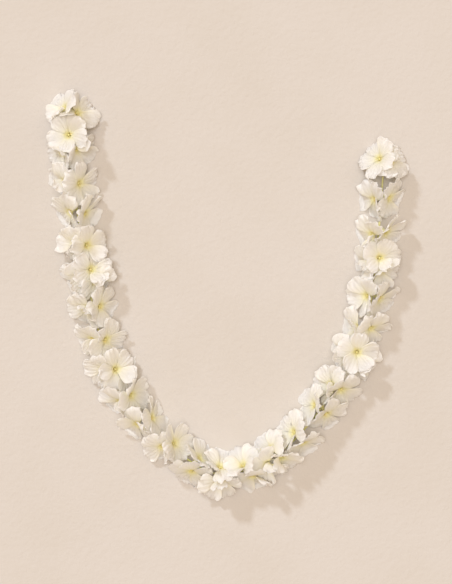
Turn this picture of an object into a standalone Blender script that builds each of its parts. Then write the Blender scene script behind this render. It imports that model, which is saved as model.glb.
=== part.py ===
"""Flower garland: white five-petalled blossoms in pairs along one slim green stem, laid down in a U.

Metres, +Z up. The garland lies on z = 0 with the bow of the U towards -Y, as it is seen from above.
Every blossom is one solid: a funnel and five waved petals in one thin sheet, with a hole at its foot.
The stem, its calyx cups and the pistils that pass through those holes are one more solid.
"""

import itertools
import math
import random
from dataclasses import dataclass

import bmesh
import bpy
from mathutils import Matrix, Vector
from mathutils.bvhtree import BVHTree
from mathutils.geometry import intersect_ray_tri

# The stem, as its curve lies on the surface
STEM_PLAN = (
    (-0.2080, 0.2540),
    (-0.2120, 0.1940),
    (-0.2040, 0.1220),
    (-0.1930, 0.0500),
    (-0.1830, -0.0080),
    (-0.1610, -0.0890),
    (-0.1160, -0.1660),
    (-0.0420, -0.2320),
    (0.0030, -0.2440),
    (0.0480, -0.2280),
    (0.0980, -0.1920),
    (0.1580, -0.1110),
    (0.1930, -0.0260),
    (0.2070, 0.0900),
    (0.2140, 0.1840),
)
CURVE_STEPS = 24
STEM_HEIGHT = 0.0115
STEM_RADIUS = 0.0012
STEM_SIDES = 5
STEM_STEP = 0.0160
NEARLY_UPRIGHT = 0.95

# The calyx cup and the pistil of a blossom, measured from the foot of its funnel
FOOT_DISTANCE = 0.0040
ROOT_RADIUS = 0.0007
CUP_RADIUS = 0.0022
CUP_GAP = 0.00045
PEG_RADIUS = 0.00075
HEAD_RADIUS = 0.0016
HEAD_HEIGHT = 0.0034
PISTIL_TOP = 0.0086
CUP_SIDES = 4
WELD = 0.00003

# The funnel and the petals of a blossom
PETALS = 5
SHEET = 0.00075
FOOT_RADIUS = 0.0019
MOUTH_RADIUS = 0.0047
FUNNEL_LENGTH = 0.0096
PETAL_LENGTH = (0.0230, 0.0262)
PETAL_HALF_WIDTH = (0.0112, 0.0126)
WIDEST_AT = 0.70
SHOULDER = 1.5
END_NARROWING = 0.13
END_BOW = 0.32
END_ARC = math.radians(60)
ROWS = (0.40, 0.74, 1.0)
COLUMNS = (-1.0, 0.0, 1.0)
OPENING = (math.radians(10), math.radians(30))
CURL = (math.radians(-48), math.radians(-8))
RAISED_FOLDING = 0.30
CUPPING = (-0.0008, 0.0020)
ROLL = (math.radians(4), math.radians(14))
TWISTED_FROM = 0.4
RIPPLE = (0.0006, 0.0013)
RIPPLE_WAVES = 1.5
RIPPLE_TRAVEL = 2.5

# The blossoms along the stem
PAIRS = 26
FIRST_PAIR = 0.0090
LAST_PAIR = 1.0900
STATION_JITTER = 0.0045
SIDE_ANGLES = (38, 52, 44, 62, 36, 56, 48)
OTHER_SIDE_SHIFT = 3
SIDE_JITTER = 6
LEAN = (math.radians(20), math.radians(34))
LEAN_FADING = 1.6
END_STRETCH = 0.0300
FACING = ((0.0390, 8), (0.2220, -35), (0.3630, -23), (0.6410, 23), (0.8350, 5), (0.9660, 15))
FACING_LEAN = math.radians(8)
OPENING_ORDER = (0, 2, 4, 1, 3)
SEED = 1

# How a petal may bend clear of its neighbours, in degrees, and what each degree costs in naturalness
PITCHES = (0, 10, -10, 20, -20, 30, -30, 42, -42, 54, 66, 78)
SWINGS = (0, 10, -10, 20, -20)
TWISTS = (0, 25, -25, 50, -50)
LENGTH_SCALES = (1.0, 0.85, 0.70, 0.55)
PITCH_COST = 1.0
SWING_COST = 1.2
TWIST_COST = 1.0
SHORTENING_COST = 260
CLEARANCE = 0.0005
REACH_APART = 0.0600
TOUCH = 0.000001
LOWEST_DIP = 0.0140
LEAST_LEVEL = 0.4
KEPT_FREE = ((0.0062, 0.0100), (0.0090, 0.0220))
BUD = ((0.0026, 0.0006), (0.0072, 0.0096), (0.0088, 0.0190))
PLACING_TRIES = 60
WIDER_EACH_TRY = 0.1

# Finishes: colour, roughness and metallic value
PETAL_FINISH = ((0.93, 0.91, 0.86, 1.0), 0.62, 0.0)
STEM_FINISH = ((0.26, 0.30, 0.07, 1.0), 0.55, 0.0)


@dataclass(frozen=True)
class Petal:
    """One petal's own form, before it bends clear of its neighbours."""

    azimuth: float
    length: float
    half_width: float
    opening: float
    curl: float
    cupping: float
    roll: float
    ripple: float
    phase: float


@dataclass(frozen=True)
class Bend:
    """How far a petal is raised, swung sideways, twisted about its rib and shortened."""

    pitch: float
    swing: float
    twist: float
    scale: float

    def cost(self):
        """How unlike the petal's own form this bend is."""
        turn = PITCH_COST * abs(self.pitch) + SWING_COST * abs(self.swing) + TWIST_COST * abs(self.twist)
        return turn + SHORTENING_COST * (1 - self.scale)


BENDS = sorted(
    (Bend(*choice) for choice in itertools.product(PITCHES, SWINGS, TWISTS, LENGTH_SCALES)), key=Bend.cost
)


@dataclass(frozen=True)
class Blossom:
    """Where a blossom grows, which way it looks, and its petals."""

    placing: Matrix
    petals: tuple


def between(draw, limits):
    """A random value between two limits."""
    return draw.uniform(*limits)


def clear_scene():
    """Removes every object of the scene."""
    for obj in list(bpy.data.objects):
        bpy.data.objects.remove(obj, do_unlink=True)


def finish(name, values):
    """A Principled material from a colour, a roughness and a metallic value."""
    colour, roughness, metallic = values
    material = bpy.data.materials.new(name)
    material.use_nodes = True
    shader = material.node_tree.nodes["Principled BSDF"]
    shader.inputs["Base Color"].default_value = colour
    shader.inputs["Roughness"].default_value = roughness
    shader.inputs["Metallic"].default_value = metallic
    material.diffuse_color = colour
    return material


def add_object(name, points, faces, material):
    """A mesh object in the scene, with one material."""
    mesh = bpy.data.meshes.new(name)
    mesh.from_pydata(points, [], faces)
    mesh.materials.append(material)
    obj = bpy.data.objects.new(name, mesh)
    bpy.context.scene.collection.objects.link(obj)
    return obj


def stem_curve():
    """Closely spaced points of a smooth curve through the plan, at the stem's height."""
    plan = [Vector((x, y, STEM_HEIGHT)) for x, y in STEM_PLAN]
    plan = [2 * plan[0] - plan[1]] + plan + [2 * plan[-1] - plan[-2]]
    curve = []
    for a, b, c, d in zip(plan, plan[1:], plan[2:], plan[3:]):
        for step in range(CURVE_STEPS):
            t = step / CURVE_STEPS
            bow = (2 * a - 5 * b + 4 * c - d) * t**2
            sway = (3 * b - a - 3 * c + d) * t**3
            curve.append((2 * b + (c - a) * t + bow + sway) / 2)
    curve.append(plan[-2])
    return curve


class Route:
    """The stem's centre line, measured by the distance along it."""

    def __init__(self, curve):
        self.curve = curve
        self.marks = [0.0]
        for a, b in zip(curve, curve[1:]):
            self.marks.append(self.marks[-1] + (b - a).length)
        self.length = self.marks[-1]

    def at(self, distance):
        """The point and the direction at a distance along the stem."""
        distance = min(max(distance, 0.0), self.length)
        index = max(i for i, mark in enumerate(self.marks[:-1]) if mark <= distance)
        a, b = self.curve[index], self.curve[index + 1]
        part = (distance - self.marks[index]) / (self.marks[index + 1] - self.marks[index])
        before = self.curve[max(index - 1, 0)]
        after = self.curve[min(index + 2, len(self.curve) - 1)]
        return a.lerp(b, part), (after - before).normalized()


def frame_towards(axis, origin):
    """A placing whose local Z runs along an axis and whose local X points as far up as it can."""
    up = Vector((0, 0, 1)) if abs(axis.z) < NEARLY_UPRIGHT else Vector((0, 1, 0))
    x = (up - axis * up.dot(axis)).normalized()
    y = axis.cross(x)
    return Matrix.Translation(origin) @ Matrix((x, y, axis)).transposed().to_4x4()


def ring(radius, height, sides, turn=0.0):
    """The corners of one regular ring about local Z."""
    angles = [turn + math.tau * k / sides for k in range(sides)]
    return [Vector((radius * math.cos(angle), radius * math.sin(angle), height)) for angle in angles]


def side_faces(rings, sides):
    """Triangles between each ring and the next, counted from the first point."""
    faces = []
    for level in range(rings - 1):
        for k in range(sides):
            a = level * sides + k
            b = level * sides + (k + 1) % sides
            faces += [(a, b, b + sides), (a, b + sides, a + sides)]
    return faces


def cap(first, sides, downwards):
    """A fan of triangles that closes one ring."""
    order = range(1, sides - 1)
    if downwards:
        return [(first, first + k + 1, first + k) for k in order]
    return [(first, first + k, first + k + 1) for k in order]


def stem_tube(route):
    """The bare stem: a closed tube with cut ends."""
    count = round(route.length / STEM_STEP)
    points = []
    for k in range(count + 1):
        centre, forward = route.at(route.length * k / count)
        placing = frame_towards(forward, centre)
        points += [placing @ corner for corner in ring(STEM_RADIUS, 0.0, STEM_SIDES)]
    faces = side_faces(count + 1, STEM_SIDES)
    faces += cap(0, STEM_SIDES, True) + cap(count * STEM_SIDES, STEM_SIDES, False)
    return points, faces


def cup_and_pistil(blossom):
    """A calyx cup rooted in the stem, and the pistil that holds the blossom on it."""
    outline = (
        (ROOT_RADIUS, -FOOT_DISTANCE),
        (CUP_RADIUS, -CUP_GAP),
        (PEG_RADIUS, -CUP_GAP),
        (HEAD_RADIUS, HEAD_HEIGHT),
    )
    points = [corner for radius, height in outline for corner in ring(radius, height, CUP_SIDES)]
    tip = len(points)
    last = tip - CUP_SIDES
    points.append(Vector((0, 0, PISTIL_TOP)))
    faces = side_faces(len(outline), CUP_SIDES) + cap(0, CUP_SIDES, True)
    faces += [(last + k, last + (k + 1) % CUP_SIDES, tip) for k in range(CUP_SIDES)]
    return [blossom.placing @ point for point in points], faces


def petal_point(petal, bend, u, v):
    """A point of a petal's middle surface: u runs across it, v from the mouth to the tip."""
    base = MOUTH_RADIUS * math.sin(math.pi / PETALS)
    if v < WIDEST_AT:
        half = base + (petal.half_width - base) * math.sin(math.pi / 2 * v / WIDEST_AT) ** SHOULDER
    else:
        half = petal.half_width * (1 - END_NARROWING * ((v - WIDEST_AT) / (1 - WIDEST_AT)) ** 2)
    folded = 1 - RAISED_FOLDING * max(0.0, math.radians(bend.pitch))
    half = base + (half - base) * bend.scale * folded
    side = half * ((1 - v**3) * u + v**3 * math.sin(END_ARC * u) / math.sin(END_ARC))
    along = v - END_BOW * v**3 * (1 - math.cos(END_ARC * u))
    start = petal.opening + math.radians(bend.pitch)
    slope = start + petal.curl * along
    length = petal.length * bend.scale
    reach = length * (math.sin(slope) - math.sin(start)) / petal.curl
    rise = length * (math.cos(start) - math.cos(slope)) / petal.curl
    sag = MOUTH_RADIUS * (1 - math.cos(math.pi / PETALS * u)) * (1 - v) ** 2
    wave = petal.ripple * v**2 * math.sin(math.pi * RIPPLE_WAVES * u + petal.phase + RIPPLE_TRAVEL * v)
    twist = (petal.roll + math.radians(bend.twist)) * min(1.0, v / TWISTED_FROM)
    lift = petal.cupping * u * u * v + side * math.sin(twist) + wave
    side *= math.cos(twist)
    swing = math.radians(bend.swing)
    out = Vector((math.cos(petal.azimuth), math.sin(petal.azimuth), 0.0))
    across = Vector((-out.y, out.x, 0.0))
    up = Vector((0.0, 0.0, 1.0))
    normal = up * math.cos(slope) - out * math.sin(slope)
    outwards = MOUTH_RADIUS - sag + reach * math.cos(swing)
    sideways = side + reach * math.sin(swing)
    return out * outwards + across * sideways + up * (FUNNEL_LENGTH + rise) + normal * lift


def petal_rows(petal, bend):
    """The petal's points beyond the mouth, row by row."""
    return [petal_point(petal, bend, u, v) for v in ROWS for u in COLUMNS]


def funnel_points():
    """The foot ring, then the mouth ring, whose every second corner lies between two petals."""
    return ring(FOOT_RADIUS, 0.0, PETALS) + ring(MOUTH_RADIUS, FUNNEL_LENGTH, 2 * PETALS, -math.pi / PETALS)


def funnel_faces():
    """Triangles of the funnel, three for each petal."""
    faces = []
    for k in range(PETALS):
        foot, next_foot = k, (k + 1) % PETALS
        left = PETALS + 2 * k
        rib = left + 1
        right = PETALS + (2 * k + 2) % (2 * PETALS)
        faces += [(foot, left, rib), (foot, rib, right), (foot, right, next_foot)]
    return faces


def petal_faces(corners, first):
    """Triangles of one petal, from its three corners on the mouth ring to its last row."""
    rows = [list(corners)] + [[first + 3 * r + c for c in range(3)] for r in range(len(ROWS))]
    faces = []
    for (a, b, c), (d, e, f) in zip(rows, rows[1:]):
        faces += [(a, d, b), (b, d, e), (b, e, f), (b, f, c)]
    return faces


def mouth_corners(k):
    """The three corners on the mouth ring that one petal grows from."""
    return (PETALS + 2 * k, PETALS + 2 * k + 1, PETALS + (2 * k + 2) % (2 * PETALS))


def corner_normals(points, faces):
    """The normal at each point, averaged by the area of the faces about it."""
    normals = [Vector((0, 0, 0)) for _ in points]
    for a, b, c in faces:
        normal = (points[b] - points[a]).cross(points[c] - points[a])
        for corner in (a, b, c):
            normals[corner] += normal
    return [normal.normalized() for normal in normals]


def thicken(points, faces, thickness):
    """A closed solid about a sheet: both faces split alike, and walls along every open edge."""
    normals = corner_normals(points, faces)
    for point, normal in zip(points, normals):
        if lies_flat(point):
            normal[:] = (0.0, 0.0, math.copysign(1.0, normal.z))
    count = len(points)
    upper = [point + normal * thickness / 2 for point, normal in zip(points, normals)]
    lower = [point - normal * thickness / 2 for point, normal in zip(points, normals)]
    solid = list(faces) + [(c + count, b + count, a + count) for a, b, c in faces]
    edges = {(a, b) for face in faces for a, b in zip(face, face[1:] + face[:1])}
    for a, b in sorted(edges):
        if (b, a) not in edges:
            solid += [(b, a, a + count), (b, a + count, b + count)]
    return upper + lower, solid


def lies_flat(point):
    """Whether a point of a sheet is as low as the surface lets it."""
    return point.z < SHEET / 2 + TOUCH


def laid(points):
    """The points of a sheet, those under the surface raised to lie on it."""
    return [Vector((point.x, point.y, max(point.z, SHEET / 2))) for point in points]


def draw_petals(draw):
    """Five petals, each with a form of its own."""
    petals = []
    for k in range(PETALS):
        petals.append(
            Petal(
                azimuth=math.tau * k / PETALS,
                length=between(draw, PETAL_LENGTH),
                half_width=between(draw, PETAL_HALF_WIDTH),
                opening=between(draw, OPENING),
                curl=between(draw, CURL),
                cupping=between(draw, CUPPING),
                roll=between(draw, ROLL),
                ripple=between(draw, RIPPLE),
                phase=between(draw, (0, math.tau)),
            )
        )
    return tuple(petals)


def grow(route, draw, station, side_degrees, lean):
    """A blossom at a station, looking out at an angle from straight up and leaning towards -Y."""
    centre, forward = route.at(station)
    outwards = forward.cross(Vector((0, 0, 1)))
    side = math.radians(side_degrees)
    radial = Vector((0, 0, 1)) * math.cos(side) + outwards * math.sin(side)
    downhill = forward * (1 if forward.y < 0 else -1)
    lean *= min(1.0, abs(forward.y) * LEAN_FADING)
    lean *= min(1.0, min(station, route.length - station) / END_STRETCH - 1)
    axis = (radial * math.cos(lean) + downhill * math.sin(lean)).normalized()
    spin = Matrix.Rotation(between(draw, (0, math.tau / PETALS)), 4, "Z")
    placing = frame_towards(axis, centre + axis * FOOT_DISTANCE) @ spin
    return Blossom(placing, draw_petals(draw))


def grow_all(route):
    """The few blossoms that face upwards, then the pairs, one on each side of the stem.

    A blossom is drawn again, each time from a wider range, until its bud is clear of the buds before it.
    """
    draw = random.Random(SEED)
    places = [(station, side, FACING_LEAN) for station, side in FACING]
    for k in range(PAIRS):
        station = FIRST_PAIR + (LAST_PAIR - FIRST_PAIR) * k / (PAIRS - 1)
        for hand in (-1, 1) if k % 2 else (1, -1):
            angle = SIDE_ANGLES[(k + (OTHER_SIDE_SHIFT if hand > 0 else 0)) % len(SIDE_ANGLES)]
            places.append((station, hand * angle, between(draw, LEAN)))
    blossoms = []
    buds = []
    for number, (station, angle, lean) in enumerate(places):
        for attempt in range(PLACING_TRIES):
            spread = 0.0 if number < len(FACING) else 1 + attempt * WIDER_EACH_TRY
            shift = between(draw, (-STATION_JITTER, STATION_JITTER)) * spread
            turn = between(draw, (-SIDE_JITTER, SIDE_JITTER)) * spread
            blossom = grow(route, draw, station + shift, angle + turn, lean)
            bud = search_tree(*turned_shell(blossom, BUD))
            if not any(bud.overlap(other) for other in buds):
                break
        else:
            raise ValueError(f"no place for blossom {number + 1}")
        blossoms.append(blossom)
        buds.append(bud)
    return blossoms


def search_tree(points, faces):
    """A tree that finds where triangles cross."""
    return BVHTree.FromPolygons(points, faces, all_triangles=True)


def turned_shell(blossom, outline):
    """An open shell about a blossom's axis, through rings given by radius and height."""
    points = [corner for radius, height in outline for corner in ring(radius, height, 2 * PETALS)]
    return [blossom.placing @ point for point in points], side_faces(len(outline), 2 * PETALS)


def petal_sheet(blossom, index, bend, first_row=0):
    """One petal's middle surface in the world, from a row of its points onwards."""
    petal = blossom.petals[index]
    rows = (0.0, *ROWS)[first_row:]
    points = [blossom.placing @ petal_point(petal, bend, u, v) for v in rows for u in COLUMNS]
    faces = []
    for r in range(len(rows) - 1):
        a, b, c, d, e, f = range(3 * r, 3 * r + 6)
        faces += [(a, d, b), (b, d, e), (b, e, f), (b, f, c)]
    return points, faces


def blossom_solid(blossom, bends):
    """The funnel and the petals that are open so far, as one closed solid in the world."""
    points = funnel_points()
    faces = funnel_faces()
    for k, bend in bends.items():
        faces += petal_faces(mouth_corners(k), len(points))
        points += petal_rows(blossom.petals[k], bend)
    return thicken(laid([blossom.placing @ point for point in points]), faces, SHEET)


def side_pierces(points, face, other, shared):
    """Whether the side of a triangle that faces a shared corner goes through the other triangle."""
    start, end = (points[corner] for corner in face if corner != shared)
    hit = intersect_ray_tri(*(points[corner] for corner in other), end - start, start, True)
    return hit is not None and (hit - start).length < (end - start).length


def crosses_itself(points, faces):
    """Whether two triangles of one solid cross, other than at a side that they share."""
    whole = search_tree(points, faces)
    for a, b in whole.overlap(whole):
        shared = set(faces[a]) & set(faces[b])
        if not shared:
            return True
        if len(shared) == 1 and side_pierces(points, faces[a], faces[b], *shared):
            return True
    return False


class Meadow:
    """All that stands in the way of an opening petal."""

    def __init__(self, blossoms, green):
        self.blossoms = blossoms
        self.bends = [{} for _ in blossoms]
        self.opened = []
        points = []
        faces = []
        self.owners = []
        pieces = [(-1, green[0])]
        for number, blossom in enumerate(blossoms):
            funnel = [blossom.placing @ point for point in funnel_points()]
            pieces.append((number, green[number + 1]))
            pieces.append((number, thicken(funnel, funnel_faces(), SHEET)))
            pieces.append((number, turned_shell(blossom, KEPT_FREE)))
        for owner, (piece_points, piece_faces) in pieces:
            faces += [tuple(len(points) + corner for corner in face) for face in piece_faces]
            points += piece_points
            self.owners += [owner] * len(piece_faces)
        self.fixed = search_tree(points, faces)

    def has_room(self, number, index, bend):
        """Whether a petal at this bend is clear of everything but its own funnel."""
        points, faces = petal_sheet(self.blossoms[number], index, bend)
        if min(point.z for point in points) < -LOWEST_DIP:
            return False
        points = laid(points)
        normals = corner_normals(points, faces)
        if any(lies_flat(point) and abs(normal.z) < LEAST_LEVEL for point, normal in zip(points, normals)):
            return False
        whole = search_tree(*thicken(points, faces, SHEET + 2 * CLEARANCE))
        if any(self.owners[hit] != number for hit, _ in self.fixed.overlap(whole)):
            return False
        outer = None
        tip = points[-2]
        for other, centre, whole_other, outer_other in self.opened:
            if (centre - tip).length > REACH_APART:
                continue
            if other != number:
                if whole_other.overlap(whole):
                    return False
                continue
            if outer is None:
                beyond, beyond_faces = petal_sheet(self.blossoms[number], index, bend, 1)
                outer = search_tree(*thicken(laid(beyond), beyond_faces, SHEET + 2 * CLEARANCE))
            if outer_other.overlap(outer):
                return False
        opened = {**self.bends[number], index: bend}
        return not crosses_itself(*blossom_solid(self.blossoms[number], opened))

    def open_petal(self, number, index):
        """Opens one petal at the most natural bend that has room, and keeps its place."""
        for bend in BENDS:
            if self.has_room(number, index, bend):
                points, faces = petal_sheet(self.blossoms[number], index, bend)
                beyond, beyond_faces = petal_sheet(self.blossoms[number], index, bend, 1)
                whole = search_tree(*thicken(laid(points), faces, SHEET))
                outer = search_tree(*thicken(laid(beyond), beyond_faces, SHEET))
                self.opened.append((number, laid(points)[-2], whole, outer))
                self.bends[number][index] = bend
                return
        raise ValueError(f"no room for petal {index + 1} of blossom {number + 1}")


def open_blossoms(blossoms, green):
    """Opens the facing blossoms whole, then the others petal by petal in turn."""
    meadow = Meadow(blossoms, green)
    facing = len(FACING)
    turns = [(number, index) for number in range(facing) for index in range(PETALS)]
    turns += [(number, index) for index in OPENING_ORDER for number in range(facing, len(blossoms))]
    for number, index in turns:
        meadow.open_petal(number, index)
    return meadow.bends


def join_green(pieces, material):
    """The stem with every cup and pistil, as one solid."""
    helpers = bpy.data.collections.new("green pieces")
    for number, (points, faces) in enumerate(pieces[1:]):
        mesh = bpy.data.meshes.new(f"cup_{number}")
        mesh.from_pydata(points, [], faces)
        helpers.objects.link(bpy.data.objects.new(f"cup_{number}", mesh))
    bpy.context.scene.collection.children.link(helpers)
    stem = add_object("stem", *pieces[0], material)
    union = stem.modifiers.new("union", "BOOLEAN")
    union.operation = "UNION"
    union.operand_type = "COLLECTION"
    union.collection = helpers
    union.solver = "EXACT"
    bpy.context.view_layer.update()
    joined = bpy.data.meshes.new_from_object(stem.evaluated_get(bpy.context.evaluated_depsgraph_get()))
    stem.modifiers.clear()
    stem.data = joined
    for obj in list(helpers.objects):
        bpy.data.objects.remove(obj, do_unlink=True)
    bpy.data.collections.remove(helpers)
    work = bmesh.new()
    work.from_mesh(joined)
    bmesh.ops.triangulate(work, faces=work.faces)
    bmesh.ops.dissolve_degenerate(work, dist=WELD, edges=work.edges)
    bmesh.ops.triangulate(work, faces=work.faces)
    work.to_mesh(joined)
    work.free()
    return stem


def main():
    clear_scene()
    petal_material = finish("petal", PETAL_FINISH)
    stem_material = finish("stem", STEM_FINISH)
    route = Route(stem_curve())
    blossoms = grow_all(route)
    green = [stem_tube(route)] + [cup_and_pistil(blossom) for blossom in blossoms]
    for number, (blossom, bends) in enumerate(zip(blossoms, open_blossoms(blossoms, green)), 1):
        add_object(f"bloom_{number:02d}", *blossom_solid(blossom, bends), petal_material)
    join_green(green, stem_material)


main()
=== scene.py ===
"""Flower garland, dressed: white blossoms in pairs along one slim green stem, laid down in a long U.

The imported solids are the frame. Each blossom is grown again by the seeded rule that its solid was made by,
its petals are found at the bends that the solid has, and fine petals with ruffled ends take their place.
Metres throughout, +Z up off the surface, +Y from the bow of the U to its open end.
"""

import itertools
import logging
import math
import random
from collections.abc import Iterator
from contextlib import contextmanager
from dataclasses import astuple, dataclass, field
from enum import Enum

import bpy
import numpy as np
from mathutils import Matrix, Vector
from mathutils.bvhtree import BVHTree


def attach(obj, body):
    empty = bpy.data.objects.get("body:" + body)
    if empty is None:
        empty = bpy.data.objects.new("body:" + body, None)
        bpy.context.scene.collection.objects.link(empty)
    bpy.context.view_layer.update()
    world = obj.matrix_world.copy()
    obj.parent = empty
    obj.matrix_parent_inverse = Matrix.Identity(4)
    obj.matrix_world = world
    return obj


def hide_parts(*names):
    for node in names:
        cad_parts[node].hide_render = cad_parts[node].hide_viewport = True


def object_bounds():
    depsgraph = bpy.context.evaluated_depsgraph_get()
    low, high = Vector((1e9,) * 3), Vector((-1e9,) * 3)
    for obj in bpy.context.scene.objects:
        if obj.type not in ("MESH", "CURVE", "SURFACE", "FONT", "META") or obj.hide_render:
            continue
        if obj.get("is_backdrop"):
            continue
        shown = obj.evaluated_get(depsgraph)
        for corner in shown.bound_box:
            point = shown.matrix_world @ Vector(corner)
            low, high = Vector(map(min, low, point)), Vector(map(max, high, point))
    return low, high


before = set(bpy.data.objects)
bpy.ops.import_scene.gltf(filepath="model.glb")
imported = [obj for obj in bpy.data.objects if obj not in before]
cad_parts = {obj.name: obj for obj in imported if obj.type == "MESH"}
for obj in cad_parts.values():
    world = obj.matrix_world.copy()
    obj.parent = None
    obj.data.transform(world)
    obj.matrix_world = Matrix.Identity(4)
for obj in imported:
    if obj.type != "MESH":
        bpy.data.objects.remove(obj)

CAD_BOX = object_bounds()
BODY = "root"
STEM_NODE = "stem"
PETAL_MAP = "petal_map"
SMOOTH_BELOW = math.radians(50)
NEARLY_UPRIGHT = 0.95
SAME_PLACE = 1e-6
LOG = logging.getLogger("garland")

Colour = tuple[float, float, float, float]
Limits = tuple[float, float]
Pair = tuple[float, float]
Triple = tuple[float, float, float]
Array = np.ndarray
Piece = bpy.types.Object
Mesh = bpy.types.Mesh
Material = bpy.types.Material


class Slot(Enum):
    """The record's material slots."""

    PETAL = "petal"
    STEM = "stem"


@dataclass(frozen=True)
class Petal:
    """One petal's own form, before it bends clear of its neighbours."""

    azimuth: float
    length: float
    half_width: float
    opening: float
    curl: float
    cupping: float
    roll: float
    ripple: float
    phase: float


@dataclass(frozen=True)
class Bend:
    """How far a petal is raised, swung sideways and twisted, in degrees, and its length scale."""

    pitch: float | Array
    swing: float | Array
    twist: float | Array
    scale: float | Array


@dataclass(frozen=True)
class Blossom:
    """Where a blossom grows, which way it looks, and its petals."""

    placing: Matrix
    petals: tuple[Petal, ...]


@dataclass(frozen=True)
class Ruffle:
    """What one fine petal has beyond its solid's form: its waves, and a looser bend in degrees."""

    waves: float
    phase: float
    depth: float
    scallop: float
    pleats: float
    pleat_phase: float
    pleat_depth: float
    rim_roll: float
    crease: float
    cup: float
    pitch: float
    swing: float
    twist: float


def select_only(*pieces: Piece) -> None:
    """Selects these objects alone, because an operator acts on all that is selected.

    Args:
        *pieces: The objects, the first of them to be active. With none, nothing stays selected.
    """
    bpy.ops.object.select_all(action="DESELECT")
    for piece in pieces:
        piece.select_set(True)
    bpy.context.view_layer.objects.active = pieces[0] if pieces else None


@contextmanager
def edit_mode() -> Iterator[None]:
    """Puts the active object into edit mode, and out of it at the end of the block.

    Yields:
        Nothing, while the block runs.
    """
    bpy.ops.object.mode_set(mode="EDIT")
    yield
    bpy.ops.object.mode_set(mode="OBJECT")


def placed(name: str, data: bpy.types.ID) -> Piece:
    """Adds an object to the scene.

    Args:
        name: Its name.
        data: Its mesh, light or camera.

    Returns:
        The object.
    """
    made = bpy.data.objects.new(name, data)
    bpy.context.scene.collection.objects.link(made)
    return made


def apply_modifier(piece: Piece, kind: str, **settings: object) -> None:
    """Adds a modifier to an object and applies it.

    Args:
        piece: The object.
        kind: The modifier's type, such as SOLIDIFY.
        **settings: Values of the modifier.
    """
    select_only(piece)
    modifier = piece.modifiers.new(kind.lower(), kind)
    for name, value in settings.items():
        setattr(modifier, name, value)
    bpy.ops.object.modifier_apply(modifier=modifier.name)


def read_points(mesh: Mesh) -> Array:
    """The corners of a mesh, one row each."""
    return np.array([corner.co[:] for corner in mesh.vertices])


def write_points(mesh: Mesh, points: Array) -> None:
    """Moves the corners of a mesh to new places."""
    mesh.vertices.foreach_set("co", points.ravel())
    mesh.update()


def moved(points: Array, placing: Matrix) -> Array:
    """Points carried from a blossom's own frame to the garland's."""
    matrix = np.array(placing)
    return points @ matrix[:3, :3].T + matrix[:3, 3]


def tree_of(piece: Piece) -> BVHTree:
    """A piece's faces, ready to be tested against others."""
    faces = [tuple(face.vertices) for face in piece.data.polygons]
    return BVHTree.FromPolygons(read_points(piece.data).tolist(), faces)


def smoothstep(low: float, high: float, value: Array) -> Array:
    """0 below one limit, 1 above the other, and a smooth rise between them."""
    part = np.clip((value - low) / (high - low), 0.0, 1.0)
    return part * part * (3 - 2 * part)


def joined(pieces: list[Piece], name: str) -> Piece:
    """Joins mesh objects into one.

    Args:
        pieces: The objects, of which the first takes in the others.
        name: The name of the whole.

    Returns:
        The joined object.
    """
    select_only(*pieces)
    bpy.ops.object.join()
    whole = pieces[0]
    whole.name = whole.data.name = name
    return whole


def mesh_copies(blank: Piece, placings: list[Matrix], name: str) -> list[Piece]:
    """Copies a blank to several places, each copy with its own mesh and its place in that mesh.

    Args:
        blank: The object to copy. It is removed.
        placings: One matrix for each copy.
        name: The copies' name.

    Returns:
        The copies.
    """
    copies = []
    for placing in placings:
        mesh = blank.data.copy()
        mesh.transform(placing)
        copies.append(placed(name, mesh))
    bpy.data.objects.remove(blank, do_unlink=True)
    return copies


def raised(profile: tuple[Pair, ...], corners: int) -> Piece:
    """Raises a disc through a row of rings, and leaves its top selected.

    Args:
        profile: The radius and the height of each ring, upwards.
        corners: How many corners a ring has.

    Returns:
        The object, round the Z axis.
    """
    select_only()
    radius, height = profile[0]
    bpy.ops.mesh.primitive_circle_add(vertices=corners, radius=radius, fill_type="NGON")
    with edit_mode():
        bpy.ops.transform.translate(value=(0, 0, height))
        for next_radius, next_height in profile[1:]:
            bpy.ops.mesh.extrude_region_move(TRANSFORM_OT_translate={"value": (0, 0, next_height - height)})
            share = next_radius / radius
            bpy.ops.transform.resize(value=(share, share, 1))
            radius, height = next_radius, next_height
    return bpy.context.object


def bead(segments: int, rings: int, size: Triple, height: float = 0.0) -> Piece:
    """Models a rounded bead.

    Args:
        segments: How many faces go round it.
        rings: How many rows of faces it has.
        size: Half its width, depth and height.
        height: How far above the origin its middle is.

    Returns:
        The object.
    """
    select_only()
    bpy.ops.mesh.primitive_uv_sphere_add(segments=segments, ring_count=rings, radius=1.0)
    with edit_mode():
        bpy.ops.transform.resize(value=size)
        bpy.ops.transform.translate(value=(0, 0, height))
    return bpy.context.object


def dressed(piece: Piece, material: Material, node: str, slot: Slot) -> Piece:
    """Gives a piece its material, and puts it in a node's place.

    Args:
        piece: The piece.
        material: Its only material.
        node: The node that it stands for.
        slot: Not used.

    Returns:
        The piece.
    """
    piece.data.materials.clear()
    piece.data.materials.append(material)
    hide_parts(node)
    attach(piece, BODY)
    return piece


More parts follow.
